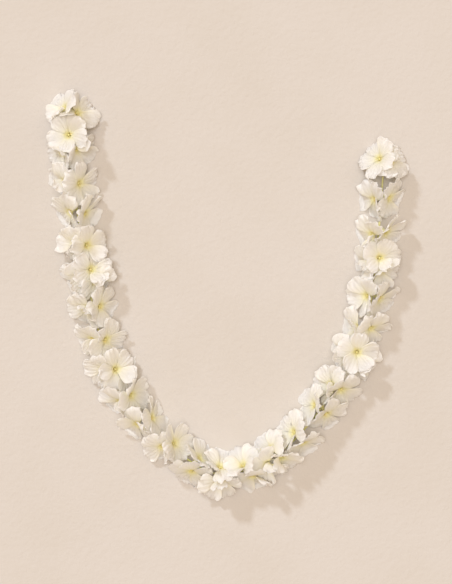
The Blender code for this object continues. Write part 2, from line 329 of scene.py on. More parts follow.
@dataclass(frozen=True)
class Value:
    """A shader socket that Python's operators work on."""

    shader: "Shader"
    socket: bpy.types.NodeSocket

    def _maths(self, operation: str, first: object, second: object) -> "Value":
        """One Math node on two values."""
        return self.shader.node("Math", {"operation": operation}, {0: first, 1: second})

    def __add__(self, other: object) -> "Value":
        """self + other."""
        return self._maths("ADD", self, other)

    def __radd__(self, other: object) -> "Value":
        """other + self."""
        return self._maths("ADD", other, self)

    def __sub__(self, other: object) -> "Value":
        """self - other."""
        return self._maths("SUBTRACT", self, other)

    def __rsub__(self, other: object) -> "Value":
        """other - self."""
        return self._maths("SUBTRACT", other, self)

    def __mul__(self, other: object) -> "Value":
        """self * other."""
        return self._maths("MULTIPLY", self, other)

    def __rmul__(self, other: object) -> "Value":
        """other * self."""
        return self._maths("MULTIPLY", other, self)


class Shader:
    """One material, its nodes made from Python expressions."""

    def __init__(self, name: str) -> None:
        """Starts a material with a bare Principled surface.

        Args:
            name: The material's name.
        """
        self.material = bpy.data.materials.new(name)
        self.material.use_nodes = True
        self.tree = self.material.node_tree
        self.surface = self.tree.nodes["Principled BSDF"]

    def node(
        self, kind: str, settings: dict[str, object], inputs: dict[int | str, object], output: int | str = 0
    ) -> Value:
        """Adds one node.

        Args:
            kind: The node's type, such as Math.
            settings: Its own settings, set first.
            inputs: The value or link of each socket, by name or index.
            output: Which of its sockets is used.

        Returns:
            That socket.
        """
        made = self.tree.nodes.new("ShaderNode" + kind)
        for name, value in settings.items():
            setattr(made, name, value)
        for name, value in inputs.items():
            self.feed(made.inputs[name], value)
        return Value(self, made.outputs[output])

    def feed(self, socket: bpy.types.NodeSocket, value: object) -> None:
        """Links a socket, or sets it.

        Args:
            socket: The socket.
            value: What feeds it: another node's value, a number or a colour.
        """
        if isinstance(value, Value):
            self.tree.links.new(value.socket, socket)
        else:
            socket.default_value = value

    def dress(self, **inputs: object) -> None:
        """Sets the surface's sockets, named with _ for a space, such as Base_Color."""
        for name, value in inputs.items():
            self.feed(self.surface.inputs[name.replace("_", " ")], value)

    def mix(self, first: object, second: object, share: object) -> Value:
        """The second colour over the first, by a share from 0 to 1."""
        return self.node("Mix", {"data_type": "RGBA"}, {0: share, 6: first, 7: second}, 2)

    def rise(self, value: Value, low: float, high: float) -> Value:
        """A value's smooth rise from 0 to 1 between two limits."""
        inputs = {"Value": value, "From Min": low, "From Max": high}
        return self.node("MapRange", {"interpolation_type": "SMOOTHSTEP"}, inputs)

    def place(self) -> Value:
        """The place on the garland, in metres."""
        return self.node("TexCoord", {}, {}, "Object")

    def noise(self, place: Value, scale: float, detail: float = 3.0, roughness: float = 0.5) -> Value:
        """Soft noise from about 0.3 to 0.7, with about that many patches to a unit of the place."""
        inputs = {"Vector": place, "Scale": scale, "Detail": detail, "Roughness": roughness}
        return self.node("TexNoise", {}, inputs)

    def bump(self, height: Value, distance: float) -> Value:
        """A normal from a height between 0 and 1, that many metres deep."""
        return self.node("Bump", {}, {"Height": height, "Distance": distance})


@dataclass(frozen=True)
class PetalFinish:
    """Thin warm-white petal with fine veins, yellow at the throat, painted warm shade and glow towards its
    base, and painted light deep in the funnel.

    A reach is where a tone starts and ends: 0 at the petal's mouth, 1 at its tip, below 0 in the funnel.
    """

    white: Colour = (0.965, 0.95, 0.91, 1.0)
    cream: Colour = (0.95, 0.905, 0.78, 1.0)
    vein: Colour = (0.89, 0.835, 0.70, 1.0)
    # Pale warm yellow towards the base: partly the petal's own tint, partly painted warm shade and glow of
    # light passing through the petal.
    base_yellow_and_glow: Colour = (0.945, 0.875, 0.62, 1.0)
    throat: Colour = (0.90, 0.81, 0.33, 1.0)
    # The throat's own yellow, painted paler deep in the funnel: painted light that lifts the shade there.
    deep_throat_painted_light: Colour = (0.92, 0.86, 0.42, 1.0)
    creaminess: float = 0.38
    veining: float = 0.30
    vein_reach: Limits = (0.0, 0.25)
    base_yellow_and_glow_reach: Limits = (0.02, 0.80)
    throat_reach: Limits = (-0.02, 0.26)
    deep_throat_painted_light_reach: Limits = (-0.36, -0.06)
    relief: float = 0.00028
    scatter_depth: float = 0.0013

    def material(self) -> Material:
        """Makes the material, which follows the petal's own map: across from 0 to 1, along from the mouth.

        Returns:
            The material.
        """
        shader = Shader("petal_white")
        map_value = shader.node("UVMap", {"uv_map": PETAL_MAP}, {})
        across = shader.node("SeparateXYZ", {}, {0: map_value}, "X")
        along = shader.node("SeparateXYZ", {}, {0: map_value}, "Y")
        place = shader.place()
        patches = shader.noise(place, scale=34.0, detail=2.0)
        fan = shader.node("CombineXYZ", {}, {"X": across * 26.0, "Y": along * 1.6})
        wander = shader.node("VectorMath", {"operation": "SCALE"}, {0: place, "Scale": 12.0})
        streak_place = shader.node("VectorMath", {"operation": "ADD"}, {0: fan, 1: wander})
        streaks = shader.noise(streak_place, scale=1.0, detail=4.0, roughness=0.62)
        crinkle = shader.noise(place, scale=420.0, roughness=0.55)
        veins = shader.rise(streaks, 0.50, 0.68) * shader.rise(along, *self.vein_reach) * self.veining
        cream = shader.rise(patches, 0.40, 0.66) * self.creaminess
        body = shader.mix(shader.mix(self.white, self.cream, cream), self.vein, veins)
        uneven = 0.60 + streaks * 0.60
        # Painted warm shade and glow towards the base, laid over the petal's own pale yellow there.
        base_yellow_and_glow_share = (1 - shader.rise(along, *self.base_yellow_and_glow_reach)) * uneven
        yellowing = (1 - shader.rise(along, *self.throat_reach)) * uneven
        yellow = shader.mix(shader.mix(body, self.base_yellow_and_glow, base_yellow_and_glow_share), self.throat, yellowing)
        # Painted light: the funnel's depths get a paler yellow that lifts their shade.
        deep_throat_painted_light_share = 1 - shader.rise(along, *self.deep_throat_painted_light_reach)
        height = streaks * 0.75 + crinkle * 0.35
        shader.dress(
            Base_Color=shader.mix(yellow, self.deep_throat_painted_light, deep_throat_painted_light_share),
            Roughness=0.42 + crinkle * 0.14,
            Normal=shader.bump(height, self.relief),
            Subsurface_Weight=0.9,
            Subsurface_Radius=(1.0, 1.0, 0.96),
            Subsurface_Scale=self.scatter_depth,
            Specular_IOR_Level=0.5,
            Sheen_Weight=0.12,
            Sheen_Roughness=0.5,
        )
        return shader.material


@dataclass(frozen=True)
class StemFinish:
    """Living olive-green stem with paler and browner patches."""

    green: Colour = (0.52, 0.53, 0.14, 1.0)
    pale: Colour = (0.74, 0.70, 0.30, 1.0)
    brown: Colour = (0.57, 0.47, 0.20, 1.0)
    browning: float = 0.45
    relief: float = 0.00012

    def material(self) -> Material:
        """Makes the stem's material.

        Returns:
            The material.
        """
        shader = Shader("stem_green")
        place = shader.place()
        patches = shader.noise(place, scale=60.0)
        fibres = shader.noise(place, scale=900.0, roughness=0.6)
        colour = shader.mix(self.green, self.pale, shader.rise(patches, 0.38, 0.64))
        browned = shader.rise(shader.noise(place, scale=21.0, detail=2.0), 0.58, 0.70) * self.browning
        shader.dress(
            Base_Color=shader.mix(colour, self.brown, browned),
            Roughness=0.42 + fibres * 0.25,
            Normal=shader.bump(fibres, self.relief),
            Subsurface_Weight=0.08,
            Subsurface_Radius=(0.6, 1.0, 0.2),
            Subsurface_Scale=0.001,
        )
        return shader.material


@dataclass(frozen=True)
class PistilFinish:
    """Soft yellow-green pistil with fine paler spots."""

    green: Colour = (0.70, 0.67, 0.20, 1.0)
    pale: Colour = (0.88, 0.82, 0.38, 1.0)
    relief: float = 0.00008

    def material(self) -> Material:
        """Makes the pistils' material.

        Returns:
            The material.
        """
        shader = Shader("pistil_green")
        beads = shader.noise(shader.place(), scale=1500.0, detail=2.0)
        shader.dress(
            Base_Color=shader.mix(self.green, self.pale, shader.rise(beads, 0.36, 0.62)),
            Roughness=0.45 + beads * 0.2,
            Normal=shader.bump(beads, self.relief),
            Subsurface_Weight=0.3,
            Subsurface_Radius=(1.0, 1.0, 0.4),
            Subsurface_Scale=0.0008,
        )
        return shader.material


@dataclass(frozen=True)
class PollenFinish:
    """Pale yellow stamens in a powder of pollen."""

    filament: Colour = (0.84, 0.78, 0.40, 1.0)
    pollen: Colour = (0.86, 0.70, 0.20, 1.0)
    relief: float = 0.0001

    def material(self) -> Material:
        """Makes the stamens' material.

        Returns:
            The material.
        """
        shader = Shader("stamen_yellow")
        grains = shader.noise(shader.place(), scale=2400.0, detail=2.0, roughness=0.6)
        shader.dress(
            Base_Color=shader.mix(self.filament, self.pollen, shader.rise(grains, 0.36, 0.60)),
            Roughness=0.70 + grains * 0.2,
            Normal=shader.bump(grains, self.relief),
            Subsurface_Weight=0.1,
            Subsurface_Scale=0.0008,
        )
        return shader.material


@dataclass(frozen=True)
class FloorFinish:
    """Plain pale plaster."""

    light: Colour = (0.660, 0.617, 0.578, 1.0)
    warm: Colour = (0.638, 0.592, 0.543, 1.0)
    relief: float = 0.0012

    def material(self) -> Material:
        """Makes the floor's material.

        Returns:
            The material.
        """
        shader = Shader("floor_plaster")
        place = shader.place()
        clouds = shader.noise(place, scale=5.0, detail=5.0, roughness=0.6)
        grain = shader.noise(place, scale=120.0, detail=5.0, roughness=0.65)
        shader.dress(
            Base_Color=shader.mix(self.light, self.warm, shader.rise(clouds, 0.35, 0.68)),
            Roughness=0.88,
            Normal=shader.bump(grain, self.relief),
            Specular_IOR_Level=0.2,
        )
        return shader.material


@dataclass(frozen=True)
class Route:
    """The stem's centre line, measured by the distance along it."""

    plan: tuple[Pair, ...] = (
        (-0.2080, 0.2540), (-0.2120, 0.1940), (-0.2040, 0.1220), (-0.1930, 0.0500), (-0.1830, -0.0080),
        (-0.1610, -0.0890), (-0.1160, -0.1660), (-0.0420, -0.2320), (0.0030, -0.2440), (0.0480, -0.2280),
        (0.0980, -0.1920), (0.1580, -0.1110), (0.1930, -0.0260), (0.2070, 0.0900), (0.2140, 0.1840),
    )
    height: float = 0.0115
    curve_steps: int = 24
    curve: list[Vector] = field(default_factory=list)
    marks: list[float] = field(default_factory=list)

    def __post_init__(self) -> None:
        """Works out the curve's points and how far along each one lies."""
        plan = [Vector((x, y, self.height)) for x, y in self.plan]
        plan = [2 * plan[0] - plan[1]] + plan + [2 * plan[-1] - plan[-2]]
        for a, b, c, d in zip(plan, plan[1:], plan[2:], plan[3:]):
            for step in range(self.curve_steps):
                t = step / self.curve_steps
                bow = (2 * a - 5 * b + 4 * c - d) * t**2
                sway = (3 * b - a - 3 * c + d) * t**3
                self.curve.append((2 * b + (c - a) * t + bow + sway) / 2)
        self.curve.append(plan[-2])
        self.marks.append(0.0)
        for a, b in zip(self.curve, self.curve[1:]):
            self.marks.append(self.marks[-1] + (b - a).length)

    @property
    def length(self) -> float:
        """The stem's length."""
        return self.marks[-1]

    def at(self, distance: float) -> tuple[Vector, Vector]:
        """Finds a place on the stem.

        Args:
            distance: How far along the stem it is.

        Returns:
            The point and the direction there.
        """
        distance = min(max(distance, 0.0), self.length)
        index = max(i for i, mark in enumerate(self.marks[:-1]) if mark <= distance)
        a, b = self.curve[index], self.curve[index + 1]
        part = (distance - self.marks[index]) / (self.marks[index + 1] - self.marks[index])
        before = self.curve[max(index - 1, 0)]
        after = self.curve[min(index + 2, len(self.curve) - 1)]
        return a.lerp(b, part), (after - before).normalized()


def frame_towards(axis: Vector, origin: Vector) -> Matrix:
    """A placing whose local Z runs along an axis and whose local X points as far up as it can.

    Args:
        axis: The axis, one unit long.
        origin: Where the placing's origin is.

    Returns:
        The placing.
    """
    up = Vector((0, 0, 1)) if abs(axis.z) < NEARLY_UPRIGHT else Vector((0, 1, 0))
    x = (up - axis * up.dot(axis)).normalized()
    y = axis.cross(x)
    return Matrix.Translation(origin) @ Matrix((x, y, axis)).transposed().to_4x4()


@dataclass(frozen=True)
class GrowthRule:
    """The seeded rule by which the solids' blossoms were placed and their petals formed."""

    route: Route
    seed: int = 1
    petals: int = 5
    petal_length: Limits = (0.0230, 0.0262)
    petal_half_width: Limits = (0.0112, 0.0126)
    opening: Limits = (math.radians(10), math.radians(30))
    curl: Limits = (math.radians(-48), math.radians(-8))
    cupping: Limits = (-0.0008, 0.0020)
    roll: Limits = (math.radians(4), math.radians(14))
    ripple: Limits = (0.0006, 0.0013)
    phase: Limits = (0, math.tau)
    pairs: int = 26
    first_pair: float = 0.0090
    last_pair: float = 1.0900
    station_jitter: float = 0.0045
    side_angles: tuple[int, ...] = (38, 52, 44, 62, 36, 56, 48)
    other_side_shift: int = 3
    side_jitter: float = 6
    lean: Limits = (math.radians(20), math.radians(34))
    lean_fading: float = 1.6
    end_stretch: float = 0.0300
    facing: tuple[Pair, ...] = (
        (0.0390, 8), (0.2220, -35), (0.3630, -23), (0.6410, 23), (0.8350, 5), (0.9660, 15),
    )
    facing_lean: float = math.radians(8)
    foot_distance: float = 0.0040
    bud: tuple[Pair, ...] = ((0.0026, 0.0006), (0.0072, 0.0096), (0.0088, 0.0190))
    placing_tries: int = 60
    wider_each_try: float = 0.1

    def _grow(self, draw: random.Random, station: float, side_degrees: float, lean: float) -> Blossom:
        """Grows one blossom, each of its petals with a form of its own.

        Args:
            draw: The generator.
            station: How far along the stem it grows.
            side_degrees: How far from straight up it looks, out to one side.
            lean: How far it leans along the stem towards -Y at most, in radians.

        Returns:
            The blossom.
        """
        centre, forward = self.route.at(station)
        outwards = forward.cross(Vector((0, 0, 1)))
        side = math.radians(side_degrees)
        radial = Vector((0, 0, 1)) * math.cos(side) + outwards * math.sin(side)
        downhill = forward * (1 if forward.y < 0 else -1)
        lean *= min(1.0, abs(forward.y) * self.lean_fading)
        lean *= min(1.0, min(station, self.route.length - station) / self.end_stretch - 1)
        axis = (radial * math.cos(lean) + downhill * math.sin(lean)).normalized()
        spin = Matrix.Rotation(draw.uniform(0, math.tau / self.petals), 4, "Z")
        placing = frame_towards(axis, centre + axis * self.foot_distance) @ spin
        sizes = (self.petal_length, self.petal_half_width, self.opening, self.curl)
        limits = (*sizes, self.cupping, self.roll, self.ripple, self.phase)
        turns = (math.tau * k / self.petals for k in range(self.petals))
        petals = tuple(Petal(turn, *(draw.uniform(*pair) for pair in limits)) for turn in turns)
        return Blossom(placing, petals)

    def _bud_tree(self, blossom: Blossom) -> BVHTree:
        """Makes the shell that a blossom keeps free of the other buds.

        Args:
            blossom: The blossom.

        Returns:
            The shell's faces.
        """
        sides = 2 * self.petals
        angles = [math.tau * k / sides for k in range(sides)]
        corners = [(r * math.cos(a), r * math.sin(a), height) for r, height in self.bud for a in angles]
        points = [blossom.placing @ Vector(corner) for corner in corners]
        faces = []
        for a in range(sides * (len(self.bud) - 1)):
            b = a - a % sides + (a + 1) % sides
            faces += [(a, b, b + sides), (a, b + sides, a + sides)]
        return BVHTree.FromPolygons(points, faces, all_triangles=True)

    def grow_all(self) -> list[Blossom]:
        """Grows every blossom.

        Returns:
            The blossoms, in the order of the nodes bloom_01 onwards.
        """
        draw = random.Random(self.seed)
        places = [(station, side, self.facing_lean) for station, side in self.facing]
        for k in range(self.pairs):
            station = self.first_pair + (self.last_pair - self.first_pair) * k / (self.pairs - 1)
            for hand in (-1, 1) if k % 2 else (1, -1):
                shift = self.other_side_shift if hand > 0 else 0
                angle = self.side_angles[(k + shift) % len(self.side_angles)]
                places.append((station, hand * angle, draw.uniform(*self.lean)))
        blossoms = []
        buds = []
        for number, (station, angle, lean) in enumerate(places):
            for attempt in range(self.placing_tries):
                spread = 0.0 if number < len(self.facing) else 1 + attempt * self.wider_each_try
                shift = draw.uniform(-self.station_jitter, self.station_jitter) * spread
                turn = draw.uniform(-self.side_jitter, self.side_jitter) * spread
                blossom = self._grow(draw, station + shift, angle + turn, lean)
                bud = self._bud_tree(blossom)
                if not any(bud.overlap(other) for other in buds):
                    break
            blossoms.append(blossom)
            buds.append(bud)
        return blossoms


@dataclass(frozen=True)
class PetalForm:
    """The smooth middle surface that every petal and funnel follows."""

    petals: int = 5
    solid_sheet: float = 0.00075
    foot_radius: float = 0.0019
    mouth_radius: float = 0.0047
    funnel_length: float = 0.0096
    widest_at: float = 0.70
    shoulder: float = 1.5
    end_narrowing: float = 0.13
    end_bow: float = 0.32
    end_arc: float = math.radians(60)
    raised_folding: float = 0.30
    twisted_from: float = 0.4
    ripple_waves: float = 1.5
    ripple_travel: float = 2.5

    def surface(
        self, petal: Petal, bend: Bend, u: Array, v: Array, lift: Array | float = 0.0,
        growth: Array | float = 0.0, spread: Array | float = 0.0,
    ) -> Array:
        """Points of a petal's middle surface in its blossom's frame.

        Args:
            petal: The petal's own form.
            bend: How it is bent clear of its neighbours. Its values may be arrays.
            u: The place across it, from -1 to 1.
            v: The place along it, from the mouth at 0 to the tip at 1.
            lift: How far to raise each point off the surface, in metres.
            growth: How much longer the petal is at each point, as a share of its length.
            spread: How much wider it is on either side, in metres.

        Returns:
            The points, with x, y and z on the last axis.
        """
        base = self.mouth_radius * math.sin(math.pi / self.petals)
        widening = np.sin(math.pi / 2 * np.minimum(v / self.widest_at, 1.0)) ** self.shoulder
        past_widest = np.maximum(v - self.widest_at, 0.0) / (1 - self.widest_at)
        half = (base + (petal.half_width - base) * widening) * (1 - self.end_narrowing * past_widest**2)
        folded = 1 - self.raised_folding * np.maximum(0.0, np.radians(bend.pitch))
        half = base + (half - base) * bend.scale * folded + spread
        side = half * ((1 - v**3) * u + v**3 * np.sin(self.end_arc * u) / math.sin(self.end_arc))
        along = v - self.end_bow * v**3 * (1 - np.cos(self.end_arc * u)) + growth
        start = petal.opening + np.radians(bend.pitch)
        slope = start + petal.curl * along
        length = petal.length * bend.scale
        reach = length * (np.sin(slope) - np.sin(start)) / petal.curl
        rise = length * (np.cos(start) - np.cos(slope)) / petal.curl
        sag = self.mouth_radius * (1 - np.cos(math.pi / self.petals * u)) * (1 - v) ** 2
        beat = math.pi * self.ripple_waves * u + petal.phase + self.ripple_travel * v
        wave = petal.ripple * v**2 * np.sin(beat)
        twist = (petal.roll + np.radians(bend.twist)) * np.minimum(1.0, v / self.twisted_from)
        raised_by = petal.cupping * u * u * v + side * np.sin(twist) + wave + lift
        side = side * np.cos(twist)
        swing = np.radians(bend.swing)
        outwards = self.mouth_radius - sag + reach * np.cos(swing) - np.sin(slope) * raised_by
        sideways = side + reach * np.sin(swing)
        height = self.funnel_length + rise + np.cos(slope) * raised_by
        cos, sin = math.cos(petal.azimuth), math.sin(petal.azimuth)
        x, y = outwards * cos - sideways * sin, outwards * sin + sideways * cos
        return np.stack(np.broadcast_arrays(x, y, height), -1)

    def funnel(self, petal: Petal, u: Array, t: Array, waist: float) -> Array:
        """Points of one petal's share of the funnel.

        Args:
            petal: The petal.
            u: The place across, from -1 to 1.
            t: The place along, from the foot at 0 to the mouth at 1.
            waist: How much slimmer the funnel is half way up than a straight cone, in metres.

        Returns:
            The points, with x, y and z on the last axis.
        """
        radius = self.foot_radius + (self.mouth_radius - self.foot_radius) * t - waist * np.sin(math.pi * t)
        angle = petal.azimuth + math.pi / self.petals * u
        return np.stack([radius * np.cos(angle), radius * np.sin(angle), self.funnel_length * t], -1)


@dataclass(frozen=True)
class BendFinder:
    """Finds at which bend a petal stands in its solid."""

    form: PetalForm
    pitches: tuple[int, ...] = (0, 10, -10, 20, -20, 30, -30, 42, -42, 54, 66, 78)
    swings: tuple[int, ...] = (0, 10, -10, 20, -20)
    twists: tuple[int, ...] = (0, 25, -25, 50, -50)
    scales: tuple[float, ...] = (1.0, 0.85, 0.70, 0.55)
    rows: tuple[float, ...] = (0.40, 0.74, 1.0)
    columns: tuple[float, ...] = (-1.0, 0.0, 1.0)
    tolerance: float = 0.00005

    def find(self, blossom: Blossom, petal: Petal, corners: Array) -> Bend:
        """The bend whose corners lie half a sheet from the solid's own.

        Args:
            blossom: The petal's blossom.
            petal: The petal.
            corners: The solid's corners.

        Returns:
            The bend.
        """
        choices = np.array(list(itertools.product(self.pitches, self.swings, self.twists, self.scales)))
        pitch, swing, twist, scale = (choices[:, [k]] for k in range(4))
        v, u = (grid.ravel()[None] for grid in np.meshgrid(self.rows, self.columns, indexing="ij"))
        points = moved(self.form.surface(petal, Bend(pitch, swing, twist, scale), u, v), blossom.placing)
        points[..., 2] = np.maximum(points[..., 2], self.form.solid_sheet / 2)
        tips = points[:, -2]
        near = self._misses(tips, corners) < self.tolerance
        misses = np.array([self._misses(group, corners).max() for group in points[near]])
        if not near.any() or misses.min() > self.tolerance:
            raise ValueError("a solid's petal stands at no known bend")
        return Bend(*choices[near][misses.argmin()])

    def _misses(self, points: Array, corners: Array) -> Array:
        """How far from half a sheet each point's nearest corner is."""
        gaps = np.linalg.norm(points[:, None] - corners[None], axis=-1).min(axis=1)
        return abs(gaps - self.form.solid_sheet / 2)


@dataclass(frozen=True)
class RuffleRule:
    """The seeded rule for the fine petals' own waves, which it draws between the least and the most.

    Limits along a petal go from 0 at the mouth to 1 at the tip. The sway has a strength and a rate. The
    second wave has a strength, a rate and a share of the petal's phase, and the scallops' wave the last two.
    """

    form: PetalForm
    seed: int = 7000
    least: Ruffle = Ruffle(
        waves=1.6, phase=0, depth=0.0009, scallop=0.020, pleats=3.6, pleat_phase=0, pleat_depth=0.00035,
        rim_roll=-0.0024, crease=0.0001, cup=-0.0020, pitch=-8, swing=-8, twist=-9,
    )
    most: Ruffle = Ruffle(
        waves=2.9, phase=math.tau, depth=0.0023, scallop=0.060, pleats=5.8, pleat_phase=math.tau,
        pleat_depth=0.00095, rim_roll=0.0012, crease=0.0006, cup=0.0028, pitch=8, swing=8, twist=9,
    )
    growth: float = 0.08
    catching_up: float = 0.65
    fullness: float = 0.0030
    full_from: Limits = (0.0, 0.22)
    slimming: float = 0.4
    slim_from: Limits = (0.6, 1.0)
    sides: Limits = (0.1, 0.8)
    margin: Limits = (0.62, 1.0)
    rim: Limits = (0.74, 1.0)
    scalloped: Limits = (0.70, 1.0)
    pleated: Limits = (0.05, 0.4)
    pleat_shares: Pair = (0.45, 0.55)
    pleat_fan: float = 0.2
    cupped: Limits = (0.1, 0.7)
    cup_level: float = 0.33
    crease_width: float = 0.13
    crease_span: float = 1.15
    sway: Pair = (1.7, 2.1)
    second_wave: Triple = (0.45, 1.9, 2.3)
    scallop_wave: Pair = (1.3, 1.1)

    def surface(self, petal: Petal, bend: Bend, draw: random.Random, u: Array, v: Array) -> Array:
        """Draws one petal's waves, and works out its fine surface beyond the mouth.

        Args:
            petal: The petal's own form.
            bend: Its solid's bend.
            draw: The generator.
            u: The place across, from -1 to 1.
            v: The place along, from the mouth at 0 to the tip at 1.

        Returns:
            The points, with x, y and z on the last axis.
        """
        between = zip(astuple(self.least), astuple(self.most))
        ruffle = Ruffle(*(draw.uniform(low, high) for low, high in between))
        strength, rate, lag = self.second_wave
        reach = np.maximum(v, np.abs(u) * smoothstep(*self.sides, v))
        margin = smoothstep(*self.margin, reach)
        sweep = ruffle.waves * math.pi * u + self.sway[0] * np.sin(self.sway[1] * v + ruffle.phase)
        wave = np.sin(sweep + ruffle.phase) + strength * np.sin(rate * sweep + lag * ruffle.phase)
        pleat = np.sin(ruffle.pleats * math.pi * u * (1 + self.pleat_fan * v) + ruffle.pleat_phase)
        inner, outer = self.pleat_shares
        middle = np.exp(-((u / self.crease_width) ** 2))
        dips = 0.5 + 0.5 * np.sin(sweep * self.scallop_wave[0] + self.scallop_wave[1] * ruffle.phase)
        lift = ruffle.depth * margin * wave
        lift += ruffle.pleat_depth * pleat * (inner * smoothstep(*self.pleated, v) + outer * margin)
        lift += ruffle.rim_roll * smoothstep(*self.rim, reach) ** 2 * v
        lift -= ruffle.crease * middle * np.sin(math.pi * np.minimum(v * self.crease_span, 1.0))
        lift += ruffle.cup * (u * u - self.cup_level) * smoothstep(*self.cupped, v)
        growth = -ruffle.scallop * smoothstep(*self.scalloped, v) * dips
        slim = 1 - self.slimming * smoothstep(*self.slim_from, v)
        spread = self.fullness * smoothstep(*self.full_from, v) * slim
        scale = bend.scale + self.growth + self.catching_up * (1 - bend.scale)
        looser = Bend(bend.pitch + ruffle.pitch, bend.swing + ruffle.swing, bend.twist + ruffle.twist, scale)
        return self.form.surface(petal, looser, u, v, lift, growth, spread)


@dataclass
class Corolla:
    """Makes the fine corollas: one blank modelled flat, then a copy shaped for each blossom.

    Rows of points are held in arrays whose axes are the petal, the row, the column and x, y and z.
    """

    form: PetalForm
    finder: BendFinder
    ruffles: RuffleRule
    material: Material
    columns: int = 24
    rows: int = 16
    funnel_rows: int = 4
    sheet: float = 0.00034
    waist: float = 0.00035
    drawn_in: float = 0.0013
    mouth_easing: int = 3
    mouth_reach: Limits = (0.0, 0.45)
    weld: float = 0.00002
    clearance: float = 0.00002
    lie_softness: float = 0.0004
    most_softened: float = 30.0
    give: float = 0.75
    layers: int = 3
    layer_height: float = 0.00045
    apart: float = 3.0
    settlings: int = 8
    yielding: float = 0.5
    mark_spreadings: int = 3
    mark_spread: float = 0.8
    clear_row: int = 4

    def __post_init__(self) -> None:
        """Models the blank and reads how its corners lie in rows."""
        self.blank = self._model_blank()
        flat = read_points(self.blank.data)
        self.order = np.lexsort((flat[:, 0], flat[:, 1], np.round(flat[:, 0] / self.apart)))
        shape = (self.form.petals, self.funnel_rows + self.rows + 1, self.columns + 1)
        index = np.arange(self.form.petals)[:, None, None]
        self.u = flat[self.order, 0].reshape(shape) - index * self.apart
        self.v = flat[self.order, 1].reshape(shape)
        width = self.columns + 1
        starts = [row * width + k for row in range(self.funnel_rows + self.rows) for k in range(self.columns)]
        self.faces = [(a, a + 1, a + 1 + width, a + width) for a in starts]
        self.first_face = (self.funnel_rows + self.clear_row) * self.columns

    def _model_blank(self) -> Piece:
        """Models five flat petals side by side, each with its share of the funnel below y = 0.

        Returns:
            The blank.
        """
        select_only()
        bpy.ops.mesh.primitive_grid_add(x_subdivisions=self.columns, y_subdivisions=self.rows, size=2.0)
        blank = bpy.context.object
        with edit_mode():
            bpy.ops.transform.resize(value=(1.0, 0.5, 1.0))
            bpy.ops.transform.translate(value=(0.0, 0.5, 0.0))
            bpy.ops.mesh.select_all(action="DESELECT")
        for corner in blank.data.vertices:
            corner.select = corner.co.y < SAME_PLACE
        for edge in blank.data.edges:
            edge.select = all(blank.data.vertices[end].select for end in edge.vertices)
        with edit_mode():
            bpy.ops.mesh.select_mode(type="EDGE")
            for _ in range(self.funnel_rows):
                step = (0.0, -1.0 / self.funnel_rows, 0.0)
                bpy.ops.mesh.extrude_edges_move(TRANSFORM_OT_translate={"value": step})
            bpy.ops.mesh.select_mode(type="VERT")
            bpy.ops.mesh.select_all(action="SELECT")
            for _ in range(self.form.petals - 1):
                bpy.ops.mesh.duplicate_move(TRANSFORM_OT_translate={"value": (self.apart, 0.0, 0.0)})
            bpy.ops.mesh.select_all(action="SELECT")
            bpy.ops.mesh.normals_make_consistent(inside=False)
        return blank

    def _ease_mouth(self, grid: Array) -> Array:
        """Draws the mouth in, and rounds the turn from the funnel into the petals.

        Args:
            grid: One corolla's rows of points.

        Returns:
            The eased rows.
        """
        near = smoothstep(-1.0, 0.0, self.v) * (1 - smoothstep(*self.mouth_reach, self.v))
        reach = np.linalg.norm(grid[..., :2], axis=-1)
        grid[..., :2] *= (1 - self.drawn_in * near / np.maximum(reach, self.drawn_in))[..., None]
        mouth = self.funnel_rows
        rows = slice(mouth - 1, mouth + 2)
        for _ in range(self.mouth_easing):
            before, after = grid[:, mouth - 2 : mouth + 1], grid[:, mouth : mouth + 3]
            grid[:, rows] = (before + 2 * grid[:, rows] + after) / 4
        return grid

    def _laid(self, grid: Array, number: int) -> Array:
        """Bends petals that reach the surface, so that they lie along it, one a little above another.

        Args:
            grid: One corolla's rows of points.
            number: The number of its node.

        Returns:
            The laid rows.
        """
        steps = np.diff(grid, axis=1)
        fan = (grid[:, -1] - grid[:, self.funnel_rows])[..., :2]
        fan += 2 * fan.mean(axis=1, keepdims=True)
        fan /= np.linalg.norm(fan, axis=-1, keepdims=True)
        turn = (2 * np.arange(self.form.petals) + number) % self.layers
        lowest = self.sheet / 2 + self.clearance + self.layer_height * turn[:, None]
        for row, step in enumerate(np.moveaxis(steps, 1, 0), 1):
            before = grid[:, row - 1]
            above = (before[..., 2] + step[..., 2] - lowest) / self.lie_softness
            height = lowest + self.lie_softness * np.logaddexp(0.0, above)
            level = np.linalg.norm(step, axis=-1) ** 2 - (height - before[..., 2]) ** 2
            level = self.give * np.sqrt(np.maximum(level, 0.0))[..., None]
            lying = 1 / (1 + np.exp(np.clip(above, -self.most_softened, self.most_softened)))[..., None]
            grid[:, row, :, :2] = before[..., :2] + step[..., :2] * (1 - lying) + fan * level * lying
            grid[:, row, :, 2] = height
        return grid

    def _grids(self, number: int, blossom: Blossom) -> tuple[Array, Array]:
        """Shapes one corolla twice.

        Args:
            number: The number of its node.
            blossom: Its blossom.

        Returns:
            Its rows of points in its solid's form, and in its fine form.
        """
        corners = np.unique(np.round(read_points(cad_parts[f"bloom_{number:02d}"].data), 7), axis=0)
        draw = random.Random(self.ruffles.seed + number)
        plain = np.zeros((*self.u.shape, 3))
        fine = np.zeros((*self.u.shape, 3))
        below, beyond = slice(0, self.funnel_rows), slice(self.funnel_rows, None)
        for k, petal in enumerate(blossom.petals):
            bend = self.finder.find(blossom, petal, corners)
            u, v = self.u[k], self.v[k]
            plain[k, beyond] = self.form.surface(petal, bend, u[beyond], v[beyond])
            fine[k, beyond] = self.ruffles.surface(petal, bend, draw, u[beyond], v[beyond])
            plain[k, below] = fine[k, below] = self.form.funnel(petal, u[below], 1 + v[below], self.waist)
        plain, fine = (moved(self._ease_mouth(grid), blossom.placing) for grid in (plain, fine))
        return self._laid(plain, number), self._laid(fine, number)

